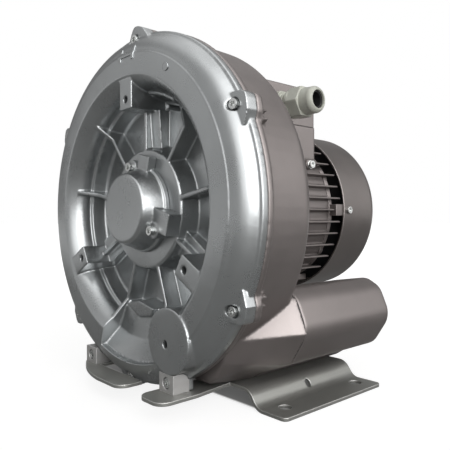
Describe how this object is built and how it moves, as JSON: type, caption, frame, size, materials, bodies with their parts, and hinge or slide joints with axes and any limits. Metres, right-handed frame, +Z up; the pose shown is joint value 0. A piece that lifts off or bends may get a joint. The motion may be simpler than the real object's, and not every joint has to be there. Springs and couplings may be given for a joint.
{
  "type": "side channel blower",
  "caption": "Single-stage side channel blower with ribbed cast cover, finned motor, fan cowl, top terminal box with cable gland, two silencers and a folded base plate.",
  "frame": {"origin": "centre of the four foot holes, on the mounting plane under the base plate", "axes": "+Z up; -Y towards the front cover, along the shaft; +X to the right seen from the front, the cable gland's side"},
  "size_m": [0.326, 0.301, 0.344],
  "materials": {
    "cast_silver": "satin silver-grey paint on die-cast aluminium",
    "cast_grey": "satin warm grey paint on die-cast aluminium",
    "cowl_paint": "satin warm grey paint on pressed sheet steel",
    "plate_paint": "satin grey paint on folded sheet steel",
    "bracket_cast": "satin grey paint on die-cast aluminium, worn",
    "zinc_screw": "bright zinc",
    "impeller_aluminium": "bare cast aluminium",
    "shaft_steel": "ground steel",
    "lamination_steel": "stacked electrical sheet",
    "winding": "varnished copper wire",
    "rubber_black": "moulded",
    "gland_rubber": "moulded",
    "fan_plastic": "moulded",
    "gland_plastic": "moulded, light greenish grey",
    "board_plastic": "moulded thermoset",
    "terminal_brass": "machined",
    "foam_grey": "open-cell foam",
    "perforated_steel": "perforated sheet"
  },
  "bodies": {
    "root": {"base_plate": "plate_paint", "bearing_cap": "cast_silver", "bearing_cap_screws": "zinc_screw", "blower_housing": "cast_grey", "bracket_screws": "zinc_screw", "cover_screws": "zinc_screw", "cover_seal": "rubber_black", "earth_screw": "zinc_screw", "end_shield_screws": "zinc_screw", "fan_cowl": "cowl_paint", "fan_cowl_screws": "zinc_screw", "front_bearing_outer_ring": "shaft_steel", "front_brackets": "bracket_cast", "front_cover": "cast_silver", "gland_body": "gland_plastic", "gland_cap_nut": "gland_plastic", "gland_locknut": "gland_plastic", "gland_seal": "gland_rubber", "motor_flange_screws": "zinc_screw", "motor_housing": "cast_grey", "port_flange_left": "cast_grey", "port_flange_right": "cast_grey", "port_flange_screws": "zinc_screw", "rear_bearing_outer_ring": "shaft_steel", "rear_end_shield": "cast_grey", "shaft_seal": "rubber_black", "silencer_foam_left": "foam_grey", "silencer_foam_right": "foam_grey", "silencer_gasket_left": "rubber_black", "silencer_gasket_right": "rubber_black", "silencer_left": "cast_grey", "silencer_right": "cast_grey", "silencer_screws": "zinc_screw", "silencer_tube_left": "perforated_steel", "silencer_tube_right": "perforated_steel", "stator_core": "lamination_steel", "stator_windings": "winding", "terminal_board": "board_plastic", "terminal_board_screws": "zinc_screw", "terminal_box": "cast_grey", "terminal_box_gasket": "rubber_black", "terminal_box_lid": "cast_grey", "terminal_box_screws": "zinc_screw", "terminal_lid_screws": "zinc_screw", "terminal_studs": "terminal_brass", "wave_spring": "shaft_steel"},
    "rotor": {"motor_shaft": "shaft_steel", "impeller": "impeller_aluminium", "impeller_key": "shaft_steel", "bearing_spacer": "impeller_aluminium", "shaft_end_screw": "zinc_screw", "front_bearing_inner_ring": "shaft_steel", "rear_bearing_inner_ring": "shaft_steel", "rotor_core": "lamination_steel", "cooling_fan": "fan_plastic", "fan_retaining_ring": "shaft_steel"},
    "front_ball_set": {"front_bearing_balls_and_cage": "shaft_steel"},
    "rear_ball_set": {"rear_bearing_balls_and_cage": "shaft_steel"}
  },
  "joints": [
    {"name": "rotor_spin", "type": "hinge", "parent": "root", "child": "rotor", "pos_m": [0, -0.089, 0.173], "axis": [0, 1, 0], "continuous": true},
    {"name": "front_ball_spin", "type": "hinge", "parent": "root", "child": "front_ball_set", "pos_m": [0, -0.1015, 0.173], "axis": [0, 1, 0], "continuous": true},
    {"name": "rear_ball_spin", "type": "hinge", "parent": "root", "child": "rear_ball_set", "pos_m": [0, 0.0805, 0.173], "axis": [0, 1, 0], "continuous": true}
  ],
  "couplings": [
    {"joint": "front_ball_spin", "follows": "rotor_spin", "ratio": 0.4},
    {"joint": "rear_ball_spin", "follows": "rotor_spin", "ratio": 0.4}
  ]
}
